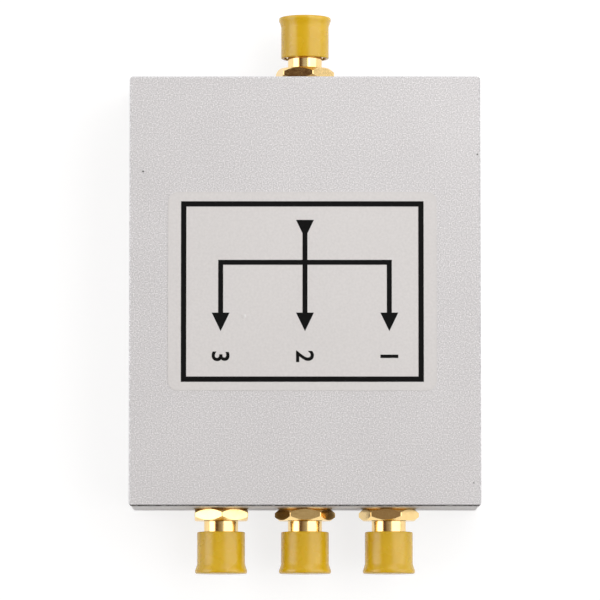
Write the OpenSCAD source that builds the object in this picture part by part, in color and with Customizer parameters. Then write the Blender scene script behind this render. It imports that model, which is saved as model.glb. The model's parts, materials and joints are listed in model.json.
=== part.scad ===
// Three-way RF power splitter: a milled box with one coaxial input jack, three
// output jacks, a microstrip divider inside and a push-on cap over each jack.
// Lengths are in millimetres. +Z comes out of the labelled front, +Y points to
// the input, and the origin is the middle of the back.

/* [Housing] */
// Width, along the row of outputs
body_w = 53; // [50:0.5:70]
// Length, from the output wall to the input wall
body_l = 65; // [60:0.5:90]
// Height, from the back to the front
body_h = 15; // [14:0.5:20]
// Thickness of the side walls, which the jacks pass through
wall = 3.5; // [3:0.25:4.5]
// Radius of the upright outer corners
corner_r = 0.6; // [0.3:0.1:1.2]
// Width of the bevel along the outer edges
edge_bevel = 0.25; // [0.1:0.05:0.4]
// Radius that the cutter leaves in the pocket's corners
pocket_r = 2; // [1:0.25:3]
// Radius of the posts under the cover screws
post_r = 3; // [2.6:0.1:3.4]

/* [Back cover] */
// Thickness of the cover
cover_t = 1.5; // [1.3:0.1:2]
// Width of the housing's rim round the cover
cover_rim = 1.5; // [1:0.25:2]
// Radius of the corners of the cover's seat
cover_r = 1.5; // [1:0.25:2.5]
// Gap between the cover's edge and the rim
cover_gap = 0.1; // [0.05:0.05:0.2]
// Distance of the cover screws from the housing's outer faces
cover_screw_inset = 5.5; // [5:0.25:6.5]

/* [Screws] */
// Diameter of the screws' shanks
screw_d = 2; // [1.6:0.1:2.4]
// Diameter of the screws' heads
screw_head_d = 3.8; // [3.2:0.1:4.1]
// Length of a countersunk cover screw, head included
cover_screw_l = 6; // [4:0.5:7]
// Depth of a countersunk head below the cover's face
cover_screw_sink = 0.1; // [0.05:0.05:0.2]
// Angle of the cone of a countersunk head
screw_head_angle = 90; // [80:1:100]
// Height of the cylindrical edge of a countersunk head
head_edge = 0.2; // [0.1:0.05:0.3]
// Length of a board screw below its head
board_screw_l = 4; // [3:0.5:5]
// Height of a board screw's head
board_screw_head_t = 1.3; // [0.8:0.1:1.6]
// Width of the slots of the cross recess
recess_w = 0.5; // [0.3:0.05:0.7]
// Length of the slots of the cross recess
recess_l = 2; // [1.4:0.1:2.4]
// Depth of the cross recess
recess_depth = 0.6; // [0.3:0.1:0.7]
// Clearance round a shank and past its tip
screw_gap = 0.05; // [0.03:0.01:0.1]

/* [Jacks] */
// Distance between neighbouring outputs
port_pitch = 12.7; // [11:0.1:14]
// Diameter of the threaded shank in the wall
shank_d = 6.35; // [6:0.05:7]
// Clearance round the shank
port_gap = 0.05; // [0.03:0.01:0.1]
// Diameter of the washer
washer_d = 8.3; // [7.8:0.1:9]
// Thickness of the washer
washer_t = 0.15; // [0.1:0.05:0.5]
// Width of the hexagon across its flats
hex_af = 8; // [7.5:0.1:8.5]
// Thickness of the hexagon
hex_t = 1.8; // [1.5:0.1:2.5]
// Width of the hexagon's chamfer at the middle of a flat
hex_chamfer = 0.1; // [0.05:0.05:0.4]
// Slope of the hexagon's chamfer
hex_chamfer_angle = 42; // [20:1:45]
// Diameter of the neck between the hexagon and the thread
neck_d = 5.2; // [5:0.1:5.5]
// Length of the neck
neck_l = 1.75; // [1:0.05:2.5]
// Outer diameter of the mating thread
thread_d = 6.25; // [6.1:0.05:6.5]
// Length of the mating thread
thread_l = 5.2; // [4.5:0.1:6.5]
// Chamfer at the ends of the threads
thread_chamfer = 0.35; // [0.2:0.05:0.5]
// Diameter of the mouth that takes the plug
mouth_d = 4.6; // [4.5:0.05:4.8]
// Depth of the mouth
mouth_depth = 1.95; // [1.5:0.05:2.5]
// Diameter of the bore round the insulator
bore_d = 4.1; // [3.9:0.05:4.3]
// Diameter of the centre contact
contact_d = 1.27; // [1.2:0.01:1.4]
// Depth of the centre contact's face below the insulator's
contact_recess = 0.1; // [0.05:0.05:0.3]
// Diameter of the contact's socket
socket_d = 0.94; // [0.9:0.01:1]
// Depth of the contact's socket
socket_depth = 3; // [2.5:0.1:4]
// Width of the slots that make the socket springy
socket_slot_w = 0.16; // [0.1:0.02:0.24]
// Length of those slots
socket_slot_l = 2.2; // [1.5:0.1:2.4]
// Clearance between contact, insulator and bore
insulator_gap = 0.02; // [0.01:0.01:0.05]
// Width of the contact's tab on the board
tab_w = 1.1; // [0.9:0.05:1.15]
// Thickness of the tab
tab_t = 0.5; // [0.4:0.05:0.6]
// Length of the tab inside the housing
tab_l = 2; // [1.6:0.1:2.4]
// Turn of the input's hexagon, from the front towards +X
in_turn = 15; // [0:1:59]
// Turn of the right output's hexagon
out1_turn = 23; // [0:1:59]
// Turn of the middle output's hexagon
out2_turn = 31; // [0:1:59]
// Turn of the left output's hexagon
out3_turn = 3; // [0:1:59]

/* [Dust caps] */
// Length of a cap
cap_l = 6.3; // [5.5:0.1:7]
// Outer diameter of a cap's sleeve
cap_d = 7.25; // [7.05:0.05:7.6]
// Thickness of a cap's closed end
cap_end_t = 0.9; // [0.5:0.1:1.2]
// Diameter of the flange at the closed end
cap_flange_d = 7.9; // [7.7:0.05:9]
// Thickness of the flange
cap_flange_t = 0.5; // [0.4:0.05:1.2]
// Height of the cone between sleeve and flange
cap_cone_h = 1.05; // [0.3:0.05:1.6]
// Chamfer on a cap's outer edges
cap_edge = 0.12; // [0.05:0.01:0.2]
// Clearance round the thread
cap_gap = 0.05; // [0.03:0.01:0.1]
// Clearance past the jack's end
cap_end_gap = 0.1; // [0.05:0.05:0.3]

/* [Circuit board] */
// Thickness of the board
board_t = 1; // [0.8:0.1:1.6]
// Clearance between the board and the housing
board_gap = 0.25; // [0.1:0.05:0.4]
// Distance of the board screws from the board's long edges
board_screw_side = 3.5; // [3:0.1:4]
// Distance of the board screws from the board's ends
board_screw_end = 13; // [11:0.5:18]
// Thickness of the copper foil
foil_t = 0.07; // [0.035:0.005:0.1]
// Distance of the foil from the board's ends
foil_margin = 0.3; // [0.1:0.05:0.5]
// Width of the feed lines
line_w = 1.9; // [1.6:0.1:2.2]
// Width of the branch lines
branch_w = 0.9; // [0.6:0.05:1.1]
// Length of the input's feed line
feed_l = 11; // [8:0.5:14]
// Length of the outputs' feed lines
outlet_l = 8; // [6:0.5:12]
// Number of runs in each meander
meander_runs = 4; // [2:2:6]
// Width of a meander
meander_w = 5; // [3:0.25:6]
// Distance of a meander's first and last runs from its ends
meander_lead = 2.2; // [1.8:0.1:3]
// Length of an isolation resistor
resistor_l = 3.2; // [2.4:0.1:3.6]
// Width of an isolation resistor
resistor_w = 1.6; // [1.2:0.1:2]
// Thickness of an isolation resistor
resistor_t = 0.55; // [0.4:0.05:0.8]
// Lap of a resistor's ends on the foil
resistor_lap = 0.6; // [0.4:0.1:0.8]
// Length of the pads under a resistor's ends
pad_l = 1.2; // [1:0.1:1.6]
// Diameter of a solder joint
solder_d = 1.8; // [1.7:0.05:2]
// Height of a solder joint
solder_h = 0.8; // [0.7:0.05:0.9]
// Distance of a solder joint's middle from the wall
solder_inset = 1.5; // [1.4:0.05:1.8]

/* [Label] */
// Width of the label
label_w = 40.5; // [30:0.5:44]
// Length of the label
label_l = 30; // [24:0.5:48]
// Thickness of the label
label_t = 0.15; // [0.1:0.05:0.3]
// Radius of the label's corners
label_r = 1.5; // [0.5:0.25:4]
// Shift of the label from the front's middle, along X
label_x = -0.4; // [-1:0.05:1]
// Shift of the label from the front's middle, along Y
label_y = -0.1; // [-1:0.05:1]

/* [Hidden] */
$fn = 64;
cut = 1;

// Heights inside the housing, from the jacks' axis to the pocket's floor
axis_z = body_h / 2;
foil_z = axis_z + tab_t / 2;
board_z = foil_z + foil_t;
floor_z = board_z + board_t;

// Places of the screws
cover_screw_x = body_w / 2 - cover_screw_inset;
cover_screw_y = body_l / 2 - cover_screw_inset;
pocket_w = body_w - 2 * wall;
pocket_l = body_l - 2 * wall;
board_w = pocket_w - 2 * board_gap;
board_l = pocket_l - 2 * board_gap;
board_screw_x = board_w / 2 - board_screw_side;
board_screw_y = board_l / 2 - board_screw_end;
countersink_h = (screw_head_d - screw_d) / 2 / tan(screw_head_angle / 2);

// Stations along a jack, outwards from the wall's face
hex_end = washer_t + hex_t;
thread_start = hex_end + neck_l;
jack_end = thread_start + thread_l;
mouth_floor = jack_end - mouth_depth;
contact_end = mouth_floor - contact_recess;
cap_floor = jack_end + cap_end_gap;
cap_end = cap_floor + cap_end_t;
cap_rim = cap_end - cap_l;
cap_flange = cap_end - cap_flange_t;

// Each port: name, place along X, wall (+1 input, -1 output), turn of its hexagon
ports = [
    ["in", 0, 1, in_turn],
    ["out1", port_pitch, -1, out1_turn],
    ["out2", 0, -1, out2_turn],
    ["out3", -port_pitch, -1, out3_turn]
];

// Levels of the divider: two stages between the input's line and the outputs'
stages = 2;
in_y = board_l / 2 - foil_margin - line_w / 2;
split_y = in_y - feed_l;
stage_l = (split_y - outlet_l + in_y) / stages;
resistor_places = [
    for (stage = [1:stages], side = [-1, 1])
        [side * port_pitch / 2, split_y - stage * stage_l]
];

JACK_PIECES = [
    "jack_washer", "jack_body", "jack_insulator", "jack_contact", "solder_joint", "dust_cap"
];
NODES = concat(
    ["housing", "back_cover", "cover_screws", "label", "circuit_board", "microstrip", "board_screws"],
    [for (i = [1:len(resistor_places)]) str("isolation_resistor_", i)],
    [for (port = ports, piece = JACK_PIECES) str(port[0], "_", piece)]
);
node = "all";

function shown(name) = node == "all" || node == name;

module rounded_rect(w, l, r) {
    square([w - 2 * r, l], center = true);
    square([w, l - 2 * r], center = true);
    for (x = [-1, 1], y = [-1, 1])
        translate([x * (w / 2 - r), y * (l / 2 - r)])
            circle(r);
}

module at_corners(x, y) {
    for (sx = [-1, 1], sy = [-1, 1])
        translate([sx * x, sy * y])
            children();
}

// Places children at a port, with their +Z pointing out of the wall
module at_port(port) {
    translate([port[1], port[2] * body_l / 2, axis_z])
        rotate([-90 * port[2], 0, 0])
            children();
}

module edge_bevels() {
    side = edge_bevel * sqrt(2);
    for (z = [0, body_h], end = [-1, 1]) {
        translate([0, end * body_l / 2, z])
            rotate([45, 0, 0])
                cube([body_w + cut, side, side], center = true);
        translate([end * body_w / 2, 0, z])
            rotate([0, 45, 0])
                cube([side, body_l + cut, side], center = true);
    }
}

// The pocket between the walls, less the posts in its corners
module pocket_outline() {
    difference() {
        rounded_rect(pocket_w, pocket_l, pocket_r);
        at_corners(cover_screw_x, cover_screw_y)
            circle(post_r);
    }
}

module housing() {
    color("silver")
    difference() {
        linear_extrude(body_h)
            rounded_rect(body_w, body_l, corner_r);
        edge_bevels();
        translate([0, 0, -cut])
            linear_extrude(cover_t + cut)
                rounded_rect(body_w - 2 * cover_rim, body_l - 2 * cover_rim, cover_r);
        linear_extrude(floor_z)
            pocket_outline();
        at_corners(cover_screw_x, cover_screw_y)
            cylinder(h = cover_screw_sink + cover_screw_l + screw_gap, d = screw_d + 2 * screw_gap);
        at_corners(board_screw_x, board_screw_y)
            translate([0, 0, board_z])
                cylinder(h = board_screw_l + screw_gap, d = screw_d + 2 * screw_gap);
        for (port = ports)
            at_port(port)
                translate([0, 0, -wall - cut])
                    cylinder(h = wall + 2 * cut, d = shank_d + 2 * port_gap);
    }
}

// A countersunk head from its face upwards, grown by a clearance
module countersunk_head(gap) {
    edge_h = cover_screw_sink + head_edge;
    translate([0, 0, edge_h])
        cylinder(h = countersink_h, d1 = screw_head_d + 2 * gap, d2 = screw_d + 2 * gap);
}

module cross_recess() {
    for (turn = [0, 90])
        rotate([0, 0, turn])
            translate([-recess_l / 2, -recess_w / 2, -cut])
                cube([recess_l, recess_w, recess_depth + cut]);
}

module back_cover() {
    color("silver")
    difference() {
        linear_extrude(cover_t)
            rounded_rect(
                body_w - 2 * cover_rim - 2 * cover_gap,
                body_l - 2 * cover_rim - 2 * cover_gap,
                cover_r - cover_gap
            );
        at_corners(cover_screw_x, cover_screw_y) {
            countersunk_head(screw_gap);
            translate([0, 0, -cut])
                cylinder(h = cut + cover_screw_sink + head_edge, d = screw_head_d + 2 * screw_gap);
            cylinder(h = cover_t + cut, d = screw_d + 2 * screw_gap);
        }
    }
}

module cover_screws() {
    color("gainsboro")
    at_corners(cover_screw_x, cover_screw_y)
        difference() {
            union() {
                countersunk_head(0);
                translate([0, 0, cover_screw_sink]) {
                    cylinder(h = head_edge, d = screw_head_d);
                    cylinder(h = cover_screw_l, d = screw_d);
                }
            }
            translate([0, 0, cover_screw_sink])
                cross_recess();
        }
}

module label() {
    color("whitesmoke")
    translate([label_x, label_y, body_h])
        linear_extrude(label_t)
            rounded_rect(label_w, label_l, label_r);
}

module circuit_board() {
    color("seagreen")
    translate([0, 0, board_z])
        linear_extrude(board_t)
            difference() {
                square([board_w, board_l], center = true);
                at_corners(cover_screw_x, cover_screw_y)
                    circle(post_r + board_gap);
                at_corners(pocket_w / 2, pocket_l / 2)
                    circle(pocket_r + board_gap);
                at_corners(board_screw_x, board_screw_y)
                    circle(d = screw_d + 2 * screw_gap);
            }
}

// A line along upright and level steps, with square ends half a width longer
module trace(points, w) {
    for (i = [1:len(points) - 1]) {
        a = points[i - 1];
        b = points[i];
        translate([min(a.x, b.x) - w / 2, min(a.y, b.y) - w / 2])
            square([abs(a.x - b.x) + w, abs(a.y - b.y) + w]);
    }
}

// A branch's way down one stage, swinging from side to side of x
function meander(x, top) =
    let (
        pitch = (stage_l - 2 * meander_lead) / (meander_runs - 1),
        swing = meander_w / 2,
        side = function (run) run % 2 == 0 ? swing : -swing
    )
    concat(
        [[x, top]],
        [
            for (run = [0:meander_runs - 1], leaving = [false, true])
                let (
                    at_lead = leaving ? run == meander_runs - 1 : run == 0,
                    offset_x = at_lead ? 0 : leaving ? side(run) : -side(run)
                )
                [x + offset_x, top - meander_lead - run * pitch]
        ],
        [[x, top - stage_l]]
    );

module microstrip() {
    color("darkgoldenrod")
    translate([0, 0, foil_z])
        linear_extrude(foil_t) {
            trace([[0, in_y], [0, split_y]], line_w);
            trace([[-port_pitch, split_y], [port_pitch, split_y]], branch_w);
            for (x = [-port_pitch, 0, port_pitch]) {
                for (stage = [0:stages - 1])
                    trace(meander(x, split_y - stage * stage_l), branch_w);
                trace([[x, -in_y + outlet_l], [x, -in_y]], line_w);
            }
            for (place = resistor_places, side = [-1, 1]) {
                pad_x = place.x + side * (resistor_l / 2 - resistor_lap + pad_l / 2);
                trace([[pad_x, place.y], [place.x + side * port_pitch / 2, place.y]], branch_w);
                translate([pad_x, place.y])
                    square([pad_l, resistor_w], center = true);
            }
        }
}

module isolation_resistor(place) {
    color("dimgray")
    translate([place.x, place.y, foil_z - resistor_t / 2])
        cube([resistor_l, resistor_w, resistor_t], center = true);
}

module board_screws() {
    color("gainsboro")
    at_corners(board_screw_x, board_screw_y)
        translate([0, 0, board_z])
            difference() {
                union() {
                    translate([0, 0, -board_screw_head_t])
                        cylinder(h = board_screw_head_t, d = screw_head_d);
                    cylinder(h = board_screw_l, d = screw_d);
                }
                translate([0, 0, -board_screw_head_t])
                    cross_recess();
            }
}

module jack_washer() {
    color("gold")
    difference() {
        cylinder(h = washer_t, d = washer_d);
        translate([0, 0, -cut])
            cylinder(h = washer_t + 2 * cut, d = shank_d + 2 * port_gap);
    }
}

// A hexagon whose corners are turned away on both faces
module chamfered_hexagon() {
    face_r = hex_af / 2 - hex_chamfer;
    intersection() {
        translate([0, 0, washer_t])
            cylinder(h = hex_t, d = hex_af / cos(30), $fn = 6);
        rotate_extrude()
            polygon([
                [0, washer_t],
                [face_r, washer_t],
                [face_r + hex_t / 2 / tan(hex_chamfer_angle), washer_t + hex_t / 2],
                [face_r, hex_end],
                [0, hex_end]
            ]);
    }
}

// The turned body: shank, hexagon, neck and thread round a stepped bore
module jack_body(port) {
    shank_r = shank_d / 2;
    neck_r = neck_d / 2;
    thread_r = thread_d / 2;
    color("gold")
    difference() {
        union() {
            rotate_extrude()
                polygon([
                    [0, -wall],
                    [shank_r - thread_chamfer, -wall],
                    [shank_r, -wall + thread_chamfer],
                    [shank_r, washer_t],
                    [neck_r, washer_t],
                    [neck_r, thread_start],
                    [thread_r - thread_chamfer, thread_start],
                    [thread_r, thread_start + thread_chamfer],
                    [thread_r, jack_end - thread_chamfer],
                    [thread_r - thread_chamfer, jack_end],
                    [0, jack_end]
                ]);
            rotate([0, 0, port[2] * (port[3] - 90)])
                chamfered_hexagon();
        }
        translate([0, 0, -wall - cut])
            cylinder(h = wall + jack_end, d = bore_d);
        translate([0, 0, mouth_floor])
            cylinder(h = mouth_depth + cut, d = mouth_d);
    }
}

module jack_insulator() {
    color("white")
    difference() {
        translate([0, 0, -wall])
            cylinder(h = wall + mouth_floor, d = bore_d - 2 * insulator_gap);
        translate([0, 0, -wall - cut])
            cylinder(h = wall + mouth_floor + 2 * cut, d = contact_d + 2 * insulator_gap);
    }
}

// The flat tab that lies on the board, let into the contact's round end
module contact_tab() {
    translate([-tab_w / 2, -tab_t / 2, -wall - tab_l])
        cube([tab_w, tab_t, tab_l + tab_w]);
}

module jack_contact() {
    color("gold")
    difference() {
        union() {
            translate([0, 0, -wall])
                cylinder(h = wall + contact_end, d = contact_d);
            contact_tab();
        }
        translate([0, 0, contact_end - socket_depth])
            cylinder(h = socket_depth + cut, d = socket_d);
        for (turn = [0, 90])
            rotate([0, 0, turn])
                translate([-contact_d, -socket_slot_w / 2, contact_end - socket_slot_l])
                    cube([2 * contact_d, socket_slot_w, socket_slot_l + cut]);
    }
}

// A drop of solder on the foil, round the end of the contact's tab
module solder_joint(port) {
    drop_r = (pow(solder_d / 2, 2) + pow(solder_h, 2)) / (2 * solder_h);
    place = [port[1], port[2] * (pocket_l / 2 - solder_inset), foil_z];
    color("lightgray")
    difference() {
        intersection() {
            translate(place + [0, 0, drop_r - solder_h])
                sphere(drop_r);
            translate(place - [solder_d, solder_d, 2 * solder_h])
                cube([2 * solder_d, 2 * solder_d, 2 * solder_h]);
        }
        at_port(port)
            contact_tab();
    }
}

module dust_cap() {
    cap_r = cap_d / 2;
    flange_r = cap_flange_d / 2;
    bore_r = thread_d / 2 + cap_gap;
    color("goldenrod")
    rotate_extrude()
        polygon([
            [bore_r, cap_rim],
            [cap_r - cap_edge, cap_rim],
            [cap_r, cap_rim + cap_edge],
            [cap_r, cap_flange - cap_cone_h],
            [flange_r, cap_flange],
            [flange_r, cap_end - cap_edge],
            [flange_r - cap_edge, cap_end],
            [0, cap_end],
            [0, cap_floor],
            [bore_r, cap_floor]
        ]);
}

if (shown("housing")) housing();
if (shown("back_cover")) back_cover();
if (shown("cover_screws")) cover_screws();
if (shown("label")) label();
if (shown("circuit_board")) circuit_board();
if (shown("microstrip")) microstrip();
if (shown("board_screws")) board_screws();
for (i = [1:len(resistor_places)])
    if (shown(str("isolation_resistor_", i))) isolation_resistor(resistor_places[i - 1]);
for (port = ports) {
    if (shown(str(port[0], "_jack_washer"))) at_port(port) jack_washer();
    if (shown(str(port[0], "_jack_body"))) at_port(port) jack_body(port);
    if (shown(str(port[0], "_jack_insulator"))) at_port(port) jack_insulator();
    if (shown(str(port[0], "_jack_contact"))) at_port(port) jack_contact();
    if (shown(str(port[0], "_solder_joint"))) solder_joint(port);
    if (shown(str(port[0], "_dust_cap"))) at_port(port) dust_cap();
}
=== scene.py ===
import json
import math

import bmesh
import bpy
from mathutils import Matrix, Vector


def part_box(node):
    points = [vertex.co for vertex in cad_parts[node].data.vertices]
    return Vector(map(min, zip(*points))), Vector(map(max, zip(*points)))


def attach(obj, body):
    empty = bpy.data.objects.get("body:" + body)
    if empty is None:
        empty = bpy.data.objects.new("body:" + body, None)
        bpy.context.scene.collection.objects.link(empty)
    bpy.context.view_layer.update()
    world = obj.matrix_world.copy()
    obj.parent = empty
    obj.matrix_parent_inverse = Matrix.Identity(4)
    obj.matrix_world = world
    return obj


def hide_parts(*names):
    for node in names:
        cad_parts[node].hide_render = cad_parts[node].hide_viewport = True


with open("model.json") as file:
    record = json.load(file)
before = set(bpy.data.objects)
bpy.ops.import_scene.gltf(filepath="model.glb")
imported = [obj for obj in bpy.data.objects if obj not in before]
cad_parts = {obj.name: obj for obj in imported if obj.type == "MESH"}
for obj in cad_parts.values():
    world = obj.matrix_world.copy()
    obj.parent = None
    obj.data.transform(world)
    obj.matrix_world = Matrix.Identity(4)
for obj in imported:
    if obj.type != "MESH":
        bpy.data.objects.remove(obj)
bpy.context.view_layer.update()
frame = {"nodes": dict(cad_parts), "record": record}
nodes = frame["nodes"]

MM = 0.001

# Places read from the frame
HOUSING_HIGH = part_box("housing")[1]
FRONT_Z = HOUSING_HIGH.z
WALL_Y = HOUSING_HIGH.y
LABEL_LOW, LABEL_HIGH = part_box("label")
LABEL_MIDDLE = (LABEL_LOW + LABEL_HIGH) / 2
LABEL_SIZE = LABEL_HIGH - LABEL_LOW

# The ports, and each one's wall: +1 for the input's and -1 for the outputs'
OUTPUTS = ("out1", "out2", "out3")
PORT_SIDES = {"in": 1} | dict.fromkeys(OUTPUTS, -1)

# Small pits in the front: x, y and radius. Their dark core takes a share of the radius
PITS = (
    (-24.43 * MM, 18.03 * MM, 0.19 * MM),
    (26.03 * MM, 20.62 * MM, 0.16 * MM),
    (25.35 * MM, -29.0 * MM, 0.13 * MM),
)
PIT_TONE = 0.15
PIT_CORE = 0.6

# Sizes of a jack that its node's box doesn't give
HEX_AF = 8.0 * MM
HEX_FACE_D = 7.8 * MM
HEX_SLOPE = math.radians(42)
HEX_FILLET = 0.2 * MM
HEX_T = 1.8 * MM
HEX_SIDES = 6
HEX_SECTOR = 360 / HEX_SIDES
HEX_CORNER_ANGLES = (0.0, 0.45, 0.9, 1.35, 2.0)
HEX_FLAT_STEPS = 16
NECK_D = 5.2 * MM
NECK_L = 1.75 * MM
NECK_FILLET = 0.12 * MM
NECK_FILLET_STEPS = 4
NECK_EDGE = 0.02 * MM
SHANK_D = 6.35 * MM
THREAD_D = 6.25 * MM
THREAD_PITCH = 25.4 / 36 * MM
THREAD_DEPTH = 0.4 * MM
THREAD_FLAT = 0.125
THREAD_CHAMFER = 0.35 * MM
THREAD_STEPS = 12
MOUTH_D = 4.6 * MM
MOUTH_DEPTH = 1.95 * MM
MOUTH_EDGE = 0.1 * MM
BORE_D = 4.1 * MM

# Sizes of a dust cap that its node's box doesn't give
CAP_D = 7.25 * MM
CAP_BORE_D = 6.35 * MM
CAP_FLANGE_T = 0.5 * MM
CAP_CONE_H = 1.05 * MM
CAP_END_T = 0.9 * MM
CAP_LEAD = 0.12 * MM
CAP_GATE_R = 0.5 * MM
CAP_GATE_FLOOR_R = 0.4 * MM
CAP_GATE_DEPTH = 0.06 * MM
CAP_SEGMENTS = 96
FLANGE_ROUND = 0.25 * MM
FLANGE_STEPS = 5
FLARE_POWER = 1.3
FLARE_STEPS = 6
RIM_ROUND = 0.15 * MM
RIM_STEPS = 4

# Label film and its print, measured from the label's middle
FILM_T = 0.06 * MM
FILM_CORNER_R = 1.5 * MM
FILM_CORNER_STEPS = 10
BLISTER_X = -8.82 * MM
BLISTER_Y = -3.84 * MM
BLISTER_R = 0.38 * MM
BLISTER_H = 0.085 * MM
BLISTER_RINGS = 5
BLISTER_SEGMENTS = 32
PRINT_DROP = 0.05 * MM
INK_T = 0.01 * MM
BORDER_W = 36.57 * MM
BORDER_L = 27.3 * MM
BORDER_LINE = 0.81 * MM
TREE_LINE = 0.75 * MM
TREE_TOP = 8.8 * MM
TREE_BAR = 4.4 * MM
TREE_END = -3.2 * MM
ARROW_W = 2.7 * MM
ARROW_L = 2.8 * MM
NUMBER_H = 2.7 * MM
NUMBER_Y = -9.8 * MM
NUMBER_BOLD = 0.02
NUMBER_STEPS = 6

# Faces that meet at more than this angle have a sharp edge
SHARP_ANGLE = math.radians(30)


# Places and meshes


def port_matrix(port):
    """Where a port's own frame lies: its +Z runs out of the wall from the wall's face."""
    low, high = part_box(f"{port}_jack_washer")
    middle = (low + high) / 2
    place = Vector((middle.x, PORT_SIDES[port] * WALL_Y, middle.z))
    turn = Matrix.Rotation(-PORT_SIDES[port] * math.pi / 2, 4, "X")
    return Matrix.Translation(place) @ turn


def stations(port, node):
    """The lowest and highest distance of a node from its port's wall face."""
    low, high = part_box(f"{port}_{node}")
    return sorted(PORT_SIDES[port] * y - WALL_Y for y in (low.y, high.y))


def arc(middle, radius, start, end, steps):
    """Points (r, u) on an arc, with its angles in degrees."""
    points = []
    for i in range(steps + 1):
        angle = math.radians(start + (end - start) * i / steps)
        points.append((middle[0] + radius * math.cos(angle), middle[1] + radius * math.sin(angle)))
    return points


def even_angles(count):
    """Evenly spaced angles around an axis."""
    return [math.tau * i / count for i in range(count)]


def point(radius, angle, u):
    """A point at a radius and an angle about the Z axis, and at a height u."""
    return (radius * math.cos(angle), radius * math.sin(angle), u)


def circle(radius, u, angles):
    """A ring of points about the Z axis. With no radius it is a single point."""
    return [point(radius, a, u) for a in angles] if radius else [(0, 0, u)]


def rectangle(x0, y0, x1, y1):
    """A rectangle's corners, counterclockwise."""
    return [(x0, y0), (x1, y0), (x1, y1), (x0, y1)]


def finish_mesh(mesh):
    """Outward normals and smooth faces between sharp edges."""
    work = bmesh.new()
    work.from_mesh(mesh)
    bmesh.ops.recalc_face_normals(work, faces=work.faces)
    work.to_mesh(mesh)
    work.free()
    mesh.polygons.foreach_set("use_smooth", [True] * len(mesh.polygons))
    mesh.set_sharp_from_angle(angle=SHARP_ANGLE)
    mesh.update()


def new_mesh(name, points, faces):
    """A finished mesh from its points and faces."""
    mesh = bpy.data.meshes.new(name)
    mesh.from_pydata(points, [], faces)
    finish_mesh(mesh)
    return mesh


def ring_mesh(name, rings, closed):
    """Skins a row of rings with quads. A ring of one point is a pole."""
    points, starts, faces = [], [], []
    for ring in rings:
        starts.append(len(points))
        points.extend(ring)
    pairs = list(zip(range(len(rings) - 1), range(1, len(rings))))
    if closed:
        pairs.append((len(rings) - 1, 0))
    count = max(len(ring) for ring in rings)
    for a, b in pairs:
        for i in range(count):
            j = (i + 1) % count
            corners = []
            for ring, step in ((a, i), (a, j), (b, j), (b, i)):
                index = starts[ring] + (step if len(rings[ring]) > 1 else 0)
                if index not in corners:
                    corners.append(index)
            faces.append(corners)
    return new_mesh(name, points, faces)


def prism_mesh(name, outline, low, high):
    """A closed flat prism over an outline of (x, y) points."""
    count = len(outline)
    points = [(x, y, z) for z in (low, high) for x, y in outline]
    faces = [list(reversed(range(count))), list(range(count, 2 * count))]
    for i in range(count):
        j = (i + 1) % count
        faces.append([i, j, count + j, count + i])
    return new_mesh(name, points, faces)


def new_object(name, data):
    """A new object in the scene."""
    made = bpy.data.objects.new(name, data)
    bpy.context.scene.collection.objects.link(made)
    return made


def add_piece(name, mesh, body, material):
    """A new piece of the object, riding on a body."""
    piece = new_object(name, mesh)
    mesh.materials.append(material)
    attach(piece, body)
    return piece


# Shader nodes

# Where most of a noise's values lie
NOISE_LOW = 0.3
NOISE_HIGH = 0.7

WHITE = (1.0, 1.0, 1.0)


def grey(value, warmth=0.0):
    """A grey, or a warm one."""
    return (value * (1 + warmth), value, value * (1 - warmth))


def feed(tree, node, inputs):
    """Links each input to a socket, or sets it to a colour, a vector or a number."""
    for key, value in inputs.items():
        socket = node.inputs[key]
        if isinstance(value, bpy.types.NodeSocket):
            tree.links.new(value, socket)
        elif socket.type == "RGBA":
            socket.default_value = (*value, 1)
        else:
            socket.default_value = value


def add_node(tree, kind, inputs=None, **settings):
    """A new node with its settings and inputs."""
    made = tree.nodes.new(kind)
    for key, value in settings.items():
        setattr(made, key, value)
    feed(tree, made, inputs or {})
    return made


def compute(tree, operation, *values):
    """What a Math node makes of numbers and sockets."""
    return add_node(tree, "ShaderNodeMath", dict(enumerate(values)), operation=operation).outputs[0]


def compute_vector(tree, operation, *values):
    """A Vector Math node on vectors and sockets."""
    return add_node(tree, "ShaderNodeVectorMath", dict(enumerate(values)), operation=operation)


def split(tree, vector):
    """The X, Y and Z of a vector."""
    parts = add_node(tree, "ShaderNodeSeparateXYZ", {"Vector": vector}).outputs
    return parts["X"], parts["Y"], parts["Z"]


def coordinates(tree, kind):
    """Texture coordinates of a kind."""
    return add_node(tree, "ShaderNodeTexCoord").outputs[kind]


def mix(tree, factor, a, b, data_type="RGBA", blend_type="MIX"):
    """A colour or a value that goes from a to b with a factor."""
    inputs = {"Factor": factor, "A": a, "B": b}
    made = add_node(tree, "ShaderNodeMix", inputs, data_type=data_type, blend_type=blend_type)
    return made.outputs["Result"]


def multiply(tree, a, b):
    """The product of two colours."""
    return mix(tree, 1.0, a, b, blend_type="MULTIPLY")


def grain(tree, scale, detail=2.0, stretch=(1, 1, 1)):
    """Noise in the object's own space. Its scale is in waves to the metre."""
    place = coordinates(tree, "Object")
    mapping = add_node(tree, "ShaderNodeMapping", {"Vector": place, "Scale": stretch})
    inputs = {"Vector": mapping.outputs["Vector"], "Scale": scale, "Detail": detail}
    return add_node(tree, "ShaderNodeTexNoise", inputs).outputs["Fac"]


def ramp(tree, factor, *stops, interpolation="LINEAR"):
    """Colours along a factor: each stop is (place, colour)."""
    made = add_node(tree, "ShaderNodeValToRGB", {"Fac": factor})
    made.color_ramp.interpolation = interpolation
    elements = made.color_ramp.elements
    while len(elements) < len(stops):
        elements.new(0.5)
    for element, (place, colour) in zip(elements, stops):
        element.position = place
        element.color = (*colour, 1)
    return made.outputs["Color"]


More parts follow.
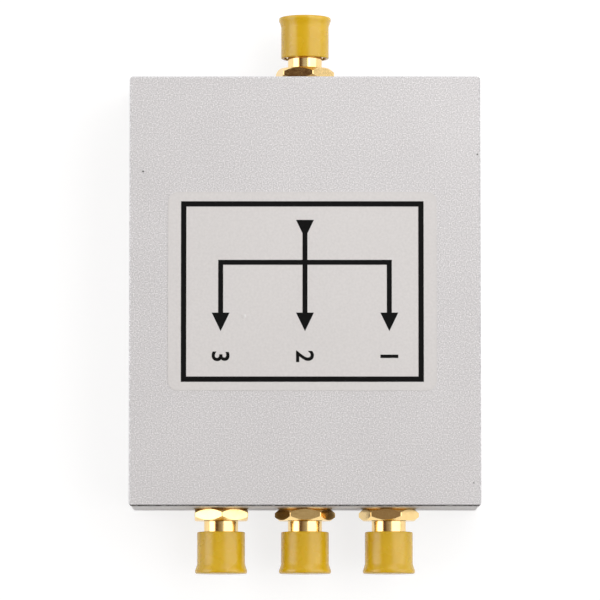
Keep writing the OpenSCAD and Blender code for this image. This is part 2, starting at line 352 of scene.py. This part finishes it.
def two_tones(tree, noise, dark, pale):
    """A colour that follows a noise from dark to pale."""
    return ramp(tree, noise, (NOISE_LOW, dark), (NOISE_HIGH, pale))


def map_range(tree, value, zone, start, end, interpolation_type="LINEAR"):
    """A value that runs from start to end while another crosses a zone."""
    inputs = {"Value": value, "From Min": zone[0], "From Max": zone[1], "To Min": start, "To Max": end}
    made = add_node(tree, "ShaderNodeMapRange", inputs, interpolation_type=interpolation_type)
    return made.outputs["Result"]


def spread(tree, noise, low, high):
    """A value that follows a noise from low to high."""
    return map_range(tree, noise, (NOISE_LOW, NOISE_HIGH), low, high)


def bump(tree, height, strength, distance):
    """A normal that follows a height."""
    inputs = {"Height": height, "Strength": strength, "Distance": distance}
    return add_node(tree, "ShaderNodeBump", inputs).outputs["Normal"]


# Materials

# A face is broad where its normal lies this close to an axis
BROAD_FACE = 0.95
EDGE_ROUGH = 0.12
BLASTED_METALLIC = 0.3

# The share of a chip's length that each tinned cap takes
CHIP_CAP = 0.15


def new_material(name):
    """A new material, its node tree and its shader."""
    material = bpy.data.materials.new(name)
    material.use_nodes = True
    return material, material.node_tree, material.node_tree.nodes["Principled BSDF"]


def cut_edges(tree):
    """One on the slanted faces of the bevels and corners, and nought on the broad faces."""
    normal = add_node(tree, "ShaderNodeNewGeometry").outputs["True Normal"]
    x, y, z = split(tree, compute_vector(tree, "ABSOLUTE", normal).outputs["Vector"])
    widest = compute(tree, "MAXIMUM", compute(tree, "MAXIMUM", x, y), z)
    return compute(tree, "LESS_THAN", widest, BROAD_FACE)


def specks(tree):
    """A factor that is dark in a few small pits of the front."""
    place = coordinates(tree, "Object")
    nearest = None
    for x, y, radius in PITS:
        apart = compute_vector(tree, "DISTANCE", place, (x, y, FRONT_Z)).outputs["Value"]
        share = compute(tree, "DIVIDE", apart, radius)
        nearest = share if nearest is None else compute(tree, "MINIMUM", nearest, share)
    return ramp(tree, nearest, (PIT_CORE, grey(PIT_TONE)), (1.0, grey(1.0)))


def blasted_aluminium():
    """Bead-blasted faces between bright cut edges."""
    material, tree, shader = new_material("blasted_aluminium")
    fine = grain(tree, 5400)
    dark, middle, pale = (0.54, 0.53, 0.538), (0.675, 0.663, 0.673), (0.93, 0.914, 0.928)
    tone = ramp(tree, fine, (0.3, dark), (0.52, middle), (0.72, pale))
    cloud = two_tones(tree, grain(tree, 90), grey(0.97), grey(1.0))
    rough = spread(tree, grain(tree, 2600), 0.42, 0.56)
    edges = cut_edges(tree)
    feed(tree, shader, {
        "Base Color": multiply(tree, multiply(tree, tone, cloud), specks(tree)),
        "Roughness": mix(tree, edges, rough, EDGE_ROUGH, data_type="FLOAT"),
        "Metallic": mix(tree, edges, BLASTED_METALLIC, 1.0, data_type="FLOAT"),
        "Normal": bump(tree, fine, 0.4, 0.03 * MM),
    })
    return material


def gold(name, tone_scale, dark, pale, smooth, rough):
    """Gold plating, from its two tones and its range of roughness."""
    material, tree, shader = new_material(name)
    feed(tree, shader, {
        "Base Color": two_tones(tree, grain(tree, tone_scale), dark, pale),
        "Roughness": spread(tree, grain(tree, 2400, detail=4), smooth, rough),
        "Metallic": 1.0,
        "Normal": bump(tree, grain(tree, 2600, detail=3), 0.2, 0.02 * MM),
    })
    return material


def cap_plastic():
    """Soft yellow plastic with faint streaks."""
    material, tree, shader = new_material("cap_plastic")
    streaks = grain(tree, 500, stretch=(1, 0.3, 1))
    rings = grain(tree, 1400, stretch=(0.05, 1, 0.05))
    feed(tree, shader, {
        "Base Color": two_tones(tree, streaks, (0.63, 0.383, 0.004), (0.69, 0.428, 0.008)),
        "Roughness": spread(tree, grain(tree, 400), 0.24, 0.3),
        "Specular IOR Level": 0.6,
        "Subsurface Weight": 0.25,
        "Subsurface Radius": (1.0, 0.6, 0.12),
        "Subsurface Scale": 0.5 * MM,
        "Normal": bump(tree, rings, 0.08, 0.03 * MM),
    })
    return material


def label_film():
    """Pale film under a thin clear coat."""
    material, tree, shader = new_material("label_film")
    tone = two_tones(tree, grain(tree, 2600), (0.64, 0.622, 0.616), (0.685, 0.665, 0.659))
    cloud = two_tones(tree, grain(tree, 60), grey(0.98), grey(1.0))
    feed(tree, shader, {
        "Base Color": multiply(tree, tone, cloud),
        "Roughness": spread(tree, grain(tree, 1200), 0.4, 0.5),
        "Coat Weight": 0.5,
        "Coat Roughness": 0.12,
        "Normal": bump(tree, grain(tree, 700), 0.05, 0.02 * MM),
    })
    return material


def label_ink():
    """Matt black ink."""
    material, tree, shader = new_material("label_ink")
    feed(tree, shader, {
        "Base Color": two_tones(tree, grain(tree, 3000), grey(0.003), grey(0.006)),
        "Roughness": spread(tree, grain(tree, 1200), 0.5, 0.6),
        "Specular IOR Level": 0.08,
    })
    return material


def plated_steel():
    """The bright plating of the screws."""
    material, tree, shader = new_material("plated_steel")
    feed(tree, shader, {
        "Base Color": two_tones(tree, grain(tree, 1800), grey(0.55), grey(0.66)),
        "Roughness": spread(tree, grain(tree, 2500), 0.22, 0.34),
        "Metallic": 1.0,
        "Normal": bump(tree, grain(tree, 2500), 0.1, 0.02 * MM),
    })
    return material


def board_laminate():
    """The woven laminate of the circuit board."""
    material, tree, shader = new_material("board_laminate")
    weave = grain(tree, 1500, stretch=(1, 0.25, 1))
    feed(tree, shader, {
        "Base Color": two_tones(tree, weave, (0.50, 0.46, 0.30), (0.60, 0.56, 0.38)),
        "Roughness": 0.45,
        "Normal": bump(tree, weave, 0.15, 0.02 * MM),
    })
    return material


def copper_foil():
    """The divider's foil."""
    material, tree, shader = new_material("copper_foil")
    feed(tree, shader, {
        "Base Color": two_tones(tree, grain(tree, 1200), (0.80, 0.58, 0.27), (0.90, 0.68, 0.34)),
        "Roughness": spread(tree, grain(tree, 2500), 0.28, 0.4),
        "Metallic": 1.0,
    })
    return material


def chip_ceramic():
    """A dark body with a tinned cap at each end of the chip's length."""
    material, tree, shader = new_material("chip_ceramic")
    along = split(tree, coordinates(tree, "Generated"))[0]
    tin, body = grey(0.62), grey(0.02)
    stops = ((0.0, tin), (CHIP_CAP, body), (1 - CHIP_CAP, tin))
    ends = ramp(tree, along, *stops, interpolation="CONSTANT")
    speckle = two_tones(tree, grain(tree, 3000), grey(0.85), grey(1.0))
    feed(tree, shader, {
        "Base Color": multiply(tree, ends, speckle),
        "Roughness": 0.35,
    })
    return material


def white_insulator():
    """The jacks' white plastic."""
    material, tree, shader = new_material("white_insulator")
    feed(tree, shader, {
        "Base Color": two_tones(tree, grain(tree, 900), grey(0.76, 0.01), grey(0.84, 0.01)),
        "Roughness": 0.4,
        "Subsurface Weight": 0.2,
        "Subsurface Scale": 0.4 * MM,
    })
    return material


def bright_solder():
    """Shiny solder."""
    material, tree, shader = new_material("bright_solder")
    feed(tree, shader, {
        "Base Color": two_tones(tree, grain(tree, 2200), grey(0.6), grey(0.74)),
        "Roughness": spread(tree, grain(tree, 1800), 0.18, 0.3),
        "Metallic": 1.0,
    })
    return material


MATERIALS = {
    "blasted_aluminium": blasted_aluminium(),
    "steel": plated_steel(),
    "label_film": label_film(),
    "board_laminate": board_laminate(),
    "copper_foil": copper_foil(),
    "chip_ceramic": chip_ceramic(),
    "gold_plate": gold("gold_plate", 700, (0.93, 0.66, 0.285), (0.98, 0.715, 0.325), 0.1, 0.18),
    "white_insulator": white_insulator(),
    "solder": bright_solder(),
    "cap_plastic": cap_plastic(),
}
INK = label_ink()
# The washers' gold is a duller, darker brass tone, darkened further as painted shade for the groove
# between each hexagon and the wall
WASHER_PAINTED_SHADE = gold("washer_gold_painted_shade", 900, (0.46, 0.33, 0.15), (0.56, 0.41, 0.2), 0.24, 0.36)

for row in frame["record"]["subparts"]:
    slots = nodes[row["node"]].data.materials
    slots.clear()
    slots.append(WASHER_PAINTED_SHADE if row["node"].endswith("washer") else MATERIALS[row["material_slot"]])


# Jacks


def hex_angles():
    """Angles of a ring, closer together in the hexagon's round corners."""
    corner = HEX_CORNER_ANGLES[-1]
    step = (HEX_SECTOR - 2 * corner) / HEX_FLAT_STEPS
    flat = [corner + step * i for i in range(1, HEX_FLAT_STEPS)]
    next_corner = [HEX_SECTOR - a for a in reversed(HEX_CORNER_ANGLES[1:])]
    sector = [*HEX_CORNER_ANGLES, *flat, *next_corner]
    return [math.radians(HEX_SECTOR * k + a) for k in range(HEX_SIDES) for a in sector]


def hex_radius(angle):
    """Distance of the hexagon's side from its axis, with a fillet at each corner."""
    half = math.radians(HEX_SECTOR / 2)
    off = abs((angle + half) % (2 * half) - half)
    flat = HEX_AF / 2
    fillet_end = half - math.atan(math.tan(half) * (1 - HEX_FILLET / flat))
    if off >= fillet_end:
        return flat / math.cos(half - off)
    middle = (flat - HEX_FILLET) / math.cos(half)
    return middle * math.cos(off) + math.sqrt(HEX_FILLET**2 - (middle * math.sin(off)) ** 2)


def hex_drop(angle):
    """How far the chamfer has come down from the hexagon's face at its side."""
    return (hex_radius(angle) - HEX_FACE_D / 2) * math.tan(HEX_SLOPE)


def thread_radius(angle, u, start, end):
    """Distance of the thread's surface from its axis: a helix under an end chamfer."""
    phase = (u / THREAD_PITCH - angle / math.tau) % 1.0
    slope = (1 + 2 * THREAD_FLAT) * (1 - abs(2 * phase - 1)) - THREAD_FLAT
    height = min(1.0, max(0.0, slope))
    crest = THREAD_D / 2
    limit = crest - THREAD_CHAMFER + min(u - start, end - u)
    return max(min(crest - THREAD_DEPTH * (1 - height), limit), NECK_D / 2)


def jack_rings(port):
    """A jack's rings, from its rear end over the outside and back through the bore."""
    washer_end = stations(port, "jack_washer")[1]
    rear, end = stations(port, "jack_body")
    hex_end = washer_end + HEX_T
    thread_start = hex_end + NECK_L
    foot = (NECK_D / 2 + NECK_FILLET, hex_end + NECK_FILLET)
    shank = [
        (BORE_D / 2, rear),
        (SHANK_D / 2 - THREAD_CHAMFER, rear),
        (SHANK_D / 2, rear + THREAD_CHAMFER),
        (SHANK_D / 2, washer_end),
        (HEX_FACE_D / 2, washer_end),
    ]
    neck = [
        (HEX_FACE_D / 2, hex_end),
        *arc(foot, NECK_FILLET, 270, 180, NECK_FILLET_STEPS),
        (NECK_D / 2, foot[1] + NECK_EDGE),
        (NECK_D / 2, thread_start - NECK_EDGE),
    ]
    steps = math.ceil((end - thread_start) / THREAD_PITCH * THREAD_STEPS)
    thread = [thread_start + (end - thread_start) * i / steps for i in range(steps + 1)]
    mouth = [
        (MOUTH_D / 2 + MOUTH_EDGE, end),
        (MOUTH_D / 2, end - MOUTH_EDGE),
        (MOUTH_D / 2, end - MOUTH_DEPTH),
        (BORE_D / 2, end - MOUTH_DEPTH),
    ]
    angles = hex_angles()
    return [
        *(circle(r, u, angles) for r, u in shank),
        [point(hex_radius(a), a, washer_end + hex_drop(a)) for a in angles],
        [point(hex_radius(a), a, hex_end - hex_drop(a)) for a in angles],
        *(circle(r, u, angles) for r, u in neck),
        *([point(thread_radius(a, u, thread_start, end), a, u) for a in angles] for u in thread),
        *(circle(r, u, angles) for r, u in mouth),
    ]


def hex_turn(port, matrix):
    """The turn of a jack's hexagon in its port's frame, from the node's furthest corner."""
    back = matrix.inverted()
    corners = [back @ v.co for v in nodes[f"{port}_jack_body"].data.vertices]
    furthest = max(corners, key=lambda p: p.xy.length)
    return math.atan2(furthest.y, furthest.x)


def make_jack(port):
    """A jack with its helical thread and small fillets."""
    matrix = port_matrix(port)
    mesh = ring_mesh(f"{port}_jack", jack_rings(port), closed=True)
    mesh.transform(matrix @ Matrix.Rotation(hex_turn(port, matrix), 4, "Z"))
    jack = add_piece(f"{port}_jack", mesh, "case", MATERIALS["gold_plate"])
    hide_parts(f"{port}_jack_body")


# Dust caps


def flare(wide, narrow):
    """Points (r, u) of a slightly hollow cone from its wide end to its narrow one."""
    points = []
    for i in range(FLARE_STEPS + 1):
        share = i / FLARE_STEPS
        r = narrow[0] + (wide[0] - narrow[0]) * (1 - share) ** FLARE_POWER
        points.append((r, wide[1] + (narrow[1] - wide[1]) * share))
    return points


def cap_profile(port):
    """A cap's profile (r, u), from the gate mark over the outside to the floor of its bore."""
    rim, end = stations(port, "dust_cap")
    low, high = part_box(f"{port}_dust_cap")
    flange_r = (high.x - low.x) / 2
    sleeve_r, bore_r = CAP_D / 2, CAP_BORE_D / 2
    flange = end - CAP_FLANGE_T
    floor = end - CAP_END_T
    rim_r = min(RIM_ROUND, (sleeve_r - bore_r - CAP_LEAD) / 2)
    return [
        (0, end - CAP_GATE_DEPTH),
        (CAP_GATE_FLOOR_R, end - CAP_GATE_DEPTH),
        (CAP_GATE_R, end),
        *arc((flange_r - FLANGE_ROUND, end - FLANGE_ROUND), FLANGE_ROUND, 90, 0, FLANGE_STEPS),
        *flare((flange_r, flange), (sleeve_r, flange - CAP_CONE_H)),
        *arc((sleeve_r - rim_r, rim + rim_r), rim_r, 0, -90, RIM_STEPS),
        (bore_r + CAP_LEAD, rim),
        (bore_r, rim + CAP_LEAD),
        (bore_r, floor),
        (0, floor),
    ]


def make_cap(port):
    """A dust cap, turned about its port's axis."""
    angles = even_angles(CAP_SEGMENTS)
    rings = [circle(r, u, angles) for r, u in cap_profile(port)]
    name = f"{port}_cap_shell"
    mesh = ring_mesh(name, rings, closed=False)
    mesh.transform(port_matrix(port))
    cap = add_piece(name, mesh, f"{port}_cap", MATERIALS["cap_plastic"])
    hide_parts(f"{port}_dust_cap")


for port in PORT_SIDES:
    make_jack(port)
    make_cap(port)


# Label

PRINT_X = LABEL_MIDDLE.x
PRINT_Y = LABEL_MIDDLE.y - PRINT_DROP
INK_LOW = FRONT_Z + FILM_T
INK_HIGH = INK_LOW + INK_T


def round_corners(width, length, radius):
    """A rectangle's outline with round corners, about its middle."""
    x, y = width / 2 - radius, length / 2 - radius
    points = []
    for corner_x, corner_y, start in ((x, y, 0), (-x, y, 90), (-x, -y, 180), (x, -y, 270)):
        points += arc((corner_x, corner_y), radius, start, start + 90, FILM_CORNER_STEPS)
    return points


def make_film():
    """The label's film."""
    outline = round_corners(LABEL_SIZE.x, LABEL_SIZE.y, FILM_CORNER_R)
    mesh = prism_mesh("label_film", outline, 0, FILM_T)
    mesh.transform(Matrix.Translation((LABEL_MIDDLE.x, LABEL_MIDDLE.y, FRONT_Z)))
    film = add_piece("label_film", mesh, "case", MATERIALS["label_film"])
    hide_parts("label")


def make_blister():
    """A small blister of air under the film."""
    angles = even_angles(BLISTER_SEGMENTS)
    rings = [[(0, 0, 0)]]
    for i in reversed(range(BLISTER_RINGS + 1)):
        r = BLISTER_R * i / BLISTER_RINGS
        rings.append(circle(r, BLISTER_H * (1 - (r / BLISTER_R) ** 2), angles))
    mesh = ring_mesh("label_blister", rings, closed=False)
    place = (LABEL_MIDDLE.x + BLISTER_X, LABEL_MIDDLE.y + BLISTER_Y, FRONT_Z + FILM_T)
    mesh.transform(Matrix.Translation(place))
    add_piece("label_blister", mesh, "case", MATERIALS["label_film"])


def print_ink(name, mesh):
    """Ink on the film, placed from the print's middle."""
    mesh.transform(Matrix.Translation((PRINT_X, PRINT_Y, 0)))
    add_piece(name, mesh, "case", INK)


def print_outline(name, outline):
    """An outline of (x, y) points filled with ink."""
    print_ink(name, prism_mesh(name, outline, INK_LOW, INK_HIGH))


def print_border():
    """A frame of one even line."""
    w, l, line = BORDER_W / 2, BORDER_L / 2, BORDER_LINE
    outer = rectangle(-w, -l, w, l)
    inner = rectangle(line - w, line - l, w - line, l - line)
    edges = ((outer, INK_LOW), (outer, INK_HIGH), (inner, INK_HIGH), (inner, INK_LOW))
    rings = [[(x, y, z) for x, y in outline] for outline, z in edges]
    print_ink("label_border", ring_mesh("label_border", rings, closed=True))


def port_offset(port):
    """A port's x, from the print's middle."""
    return port_matrix(port).translation.x - PRINT_X


def print_tree():
    """One line that divides into three: the plain sign for a splitter."""
    half = TREE_LINE / 2
    low, high = TREE_BAR - half, TREE_BAR + half
    outline = []
    for port in reversed(OUTPUTS):
        x = port_offset(port)
        outline += [(x - half, low), (x - half, TREE_END), (x + half, TREE_END), (x + half, low)]
    # The outer two lines run up to the bar's upper edge
    outline[0] = (outline[0][0], high)
    outline[-1] = (outline[-1][0], high)
    x = port_offset("in")
    outline += [(x + half, high), (x + half, TREE_TOP), (x - half, TREE_TOP), (x - half, high)]
    print_outline("label_tree", outline)


def print_arrows():
    """A head whose tip runs into the input's line, and one at the end of each output's line."""
    half_line, half_head = TREE_LINE / 2, ARROW_W / 2
    in_top = TREE_TOP + ARROW_L * (1 - TREE_LINE / ARROW_W)
    in_head = [(-half_head, in_top), (-half_line, TREE_TOP), (half_line, TREE_TOP), (half_head, in_top)]
    out_head = [(-half_head, TREE_END), (0, TREE_END - ARROW_L), (half_head, TREE_END)]
    for port in PORT_SIDES:
        head = in_head if port == "in" else out_head
        print_outline(f"label_arrow_{port}", [(port_offset(port) + x, y) for x, y in head])


def draw_number(digit):
    """A flat mesh of a number in the plain font."""
    curve = bpy.data.curves.new(f"number_{digit}", "FONT")
    curve.body = digit
    curve.offset = NUMBER_BOLD
    curve.resolution_u = NUMBER_STEPS
    letter = new_object(f"number_{digit}", curve)
    bpy.context.view_layer.update()
    evaluated = letter.evaluated_get(bpy.context.evaluated_depsgraph_get())
    drawn = bpy.data.meshes.new_from_object(evaluated)
    bpy.data.objects.remove(letter)
    return drawn


def print_number(port, digit):
    """A plain number beside its output, turned a quarter clockwise."""
    drawn = draw_number(digit)
    xs = [v.co.x for v in drawn.vertices]
    ys = [v.co.y for v in drawn.vertices]
    middle = Vector(((min(xs) + max(xs)) / 2, (min(ys) + max(ys)) / 2, 0))
    size = NUMBER_H / (max(ys) - min(ys))
    work = bmesh.new()
    work.from_mesh(drawn)
    raised = bmesh.ops.extrude_face_region(work, geom=work.faces[:])
    lift = [v for v in raised["geom"] if isinstance(v, bmesh.types.BMVert)]
    bmesh.ops.translate(work, verts=lift, vec=(0, 0, INK_T / size))
    work.to_mesh(drawn)
    work.free()
    place = Matrix.Translation((port_offset(port), NUMBER_Y, INK_LOW))
    turn = Matrix.Rotation(-math.pi / 2, 4, "Z")
    drawn.transform(place @ turn @ Matrix.Scale(size, 4) @ Matrix.Translation(-middle))
    finish_mesh(drawn)
    print_ink(f"label_number_{digit}", drawn)


make_film()
make_blister()
print_border()
print_tree()
print_arrows()
for number, port in enumerate(OUTPUTS, 1):
    print_number(port, str(number))


# Stage: floor, light and camera

# The floor, which glows to rays of less than a depth
FLOOR_SIZE = 4.0
FLOOR_DROP = 0.02 * MM
FLOOR_LAP = 0.5 * MM
FLOOR_COLOUR = grey(0.28)
FLOOR_ROUGH = 0.9
FLOOR_GLOW = 0.78
GLOW_DEPTH = 1.5

# Light of the room, where 1 is white
SIDE_LEFT_LIGHT = 2.75
SIDE_RIGHT_LIGHT = 2.2
SIDE_BACK_LIGHT = 0.85
SIDE_FRONT_LIGHT = 0.9
SIDE_LOW_LIGHT = 0.5
ABOVE_LEFT_LIGHT = 0.08
ABOVE_RIGHT_LIGHT = 0.31
STRIP_LIGHT = 0.55
BEHIND_LIGHT = 0.38
FRONT_LIGHT = 0.05
DARK_LEFT_TINT = (1.0, 0.56, 0.36)
DARK_RIGHT_TINT = (1.0, 0.86, 0.7)

# Where one light passes into the next, along an axis of the direction
SIDE_SWAP_X = (-0.3, 0.3)
SIDE_BACK_Y = (0.2, 0.7)
SIDE_FRONT_Y = (-0.8, -0.1)
SIDE_LOW_Z = (0.0, 0.2)
ABOVE_X = (-0.52, -0.08)
FRONT_Y = (-0.95, 0.0)
STRIP_Y = (0.25, 0.45)

# The dark zone's sides, from its own middle, and its slanted edge towards +Y
DARK_SHIFT = 0.17
DARK_SIDES = (0.4, 0.58)
DARK_SLANT = 0.29
DARK_EDGE = (0.045, 0.095)

# The softbox: azimuth 0 is +X and 90 is +Y
SOFTBOX_AZIMUTH = math.radians(60)
SOFTBOX_ELEVATION = math.radians(45)
SOFTBOX_DISTANCE = 0.2
SOFTBOX_SIZE = 0.14
SOFTBOX_LIGHT = 1.4

CAMERA_PLACE = Vector((-0.75, -67.43, 800.0)) * MM
CAMERA_TILT = math.radians(4.805)
CAMERA_LENS = 313.85
CAMERA_SENSOR = 36
CAMERA_NEAR = 0.01


def floor_mesh():
    """A broad floor with an opening under the object, so that its back can be seen from below."""
    outer = FLOOR_SIZE / 2
    inner_x, inner_y = HOUSING_HIGH.x - FLOOR_LAP, HOUSING_HIGH.y - FLOOR_LAP
    corners = rectangle(-outer, -outer, outer, outer) + rectangle(-inner_x, -inner_y, inner_x, inner_y)
    faces = [[i, (i + 1) % 4, 4 + (i + 1) % 4, 4 + i] for i in range(4)]
    mesh = bpy.data.meshes.new("floor")
    mesh.from_pydata([(x, y, -FLOOR_DROP) for x, y in corners], [], faces)
    return mesh


def floor_material():
    """White to the camera and to a first reflection, with its shadows kept, and clear from below."""
    material, tree, shader = new_material("floor")
    rays = add_node(tree, "ShaderNodeLightPath").outputs
    seen = compute(tree, "MAXIMUM", rays["Is Camera Ray"], rays["Is Glossy Ray"])
    seen_too = compute(tree, "MAXIMUM", seen, rays["Is Transmission Ray"])
    early = compute(tree, "LESS_THAN", rays["Ray Depth"], GLOW_DEPTH)
    shown = compute(tree, "MULTIPLY", seen_too, early)
    feed(tree, shader, {
        "Base Color": FLOOR_COLOUR,
        "Roughness": FLOOR_ROUGH,
        "Emission Color": WHITE,
        "Emission Strength": compute(tree, "MULTIPLY", shown, FLOOR_GLOW),
    })
    below = add_node(tree, "ShaderNodeNewGeometry").outputs["Backfacing"]
    clear = add_node(tree, "ShaderNodeBsdfTransparent")
    inputs = {"Fac": below, 1: shader.outputs[0], 2: clear.outputs[0]}
    pick = add_node(tree, "ShaderNodeMixShader", inputs)
    feed(tree, tree.nodes["Material Output"], {"Surface": pick.outputs[0]})
    return material


def make_floor():
    """The floor that the object lies on."""
    mesh = floor_mesh()
    mesh.materials.append(floor_material())
    floor = new_object("floor", mesh)


def between(tree, value, zone, start, end):
    """A value that runs smoothly from start to end while another crosses a zone."""
    return map_range(tree, value, zone, start, end, interpolation_type="SMOOTHSTEP")


def make_world():
    """A studio room: bright sides, and a dark zone from above the camera down towards -Y."""
    world = bpy.data.worlds.new("studio")
    bpy.context.scene.world = world
    world.use_nodes = True
    tree = world.node_tree
    direction = coordinates(tree, "Generated")
    x, y, z = split(tree, direction)
    sideways = compute(tree, "ABSOLUTE", compute(tree, "ADD", x, DARK_SHIFT))
    slanted = compute_vector(tree, "DOT_PRODUCT", direction, (DARK_SLANT, 1, 0)).outputs["Value"]
    # The bright sides
    side = between(tree, x, SIDE_SWAP_X, SIDE_LEFT_LIGHT, SIDE_RIGHT_LIGHT)
    far = between(tree, y, SIDE_BACK_Y, side, SIDE_BACK_LIGHT)
    upper = between(tree, y, SIDE_FRONT_Y, SIDE_FRONT_LIGHT, far)
    sides = between(tree, z, SIDE_LOW_Z, SIDE_LOW_LIGHT, upper)
    # The dark zone, and the strip and the room behind it
    above = between(tree, x, ABOVE_X, ABOVE_LEFT_LIGHT, ABOVE_RIGHT_LIGHT)
    dark = between(tree, y, FRONT_Y, FRONT_LIGHT, above)
    behind = between(tree, y, STRIP_Y, STRIP_LIGHT, BEHIND_LIGHT)
    middle = between(tree, slanted, DARK_EDGE, dark, behind)
    light = between(tree, sideways, DARK_SIDES, middle, sides)
    # The dark zone's warm tint
    across = between(tree, x, ABOVE_X, 0.0, 1.0)
    beyond = between(tree, slanted, DARK_EDGE, 0.0, 1.0)
    neutral = between(tree, sideways, DARK_SIDES, beyond, 1.0)
    tint = mix(tree, across, DARK_LEFT_TINT, DARK_RIGHT_TINT)
    colour = mix(tree, neutral, tint, WHITE)
    feed(tree, tree.nodes["Background"], {"Color": colour, "Strength": light})


def make_softbox():
    """A soft area light that faces the object."""
    light = bpy.data.lights.new("softbox", "AREA")
    light.shape = "RECTANGLE"
    light.size = SOFTBOX_SIZE
    light.size_y = SOFTBOX_SIZE
    light.energy = SOFTBOX_LIGHT * math.pi * SOFTBOX_SIZE * SOFTBOX_SIZE
    lamp = new_object("softbox", light)
    ahead = math.cos(SOFTBOX_ELEVATION)
    back = Vector(point(ahead, SOFTBOX_AZIMUTH, math.sin(SOFTBOX_ELEVATION)))
    lamp.location = back * SOFTBOX_DISTANCE
    lamp.rotation_euler = back.to_track_quat("Z", "Y").to_euler()


def make_camera():
    """The photograph's camera."""
    camera = new_object("camera", bpy.data.cameras.new("camera"))
    camera.location = CAMERA_PLACE
    camera.rotation_euler = (CAMERA_TILT, 0, 0)
    camera.data.sensor_width = CAMERA_SENSOR
    camera.data.lens = CAMERA_LENS
    camera.data.clip_start = CAMERA_NEAR
    bpy.context.scene.camera = camera


make_floor()
make_world()
make_softbox()
make_camera()
bpy.context.scene.view_settings.view_transform = "Standard"
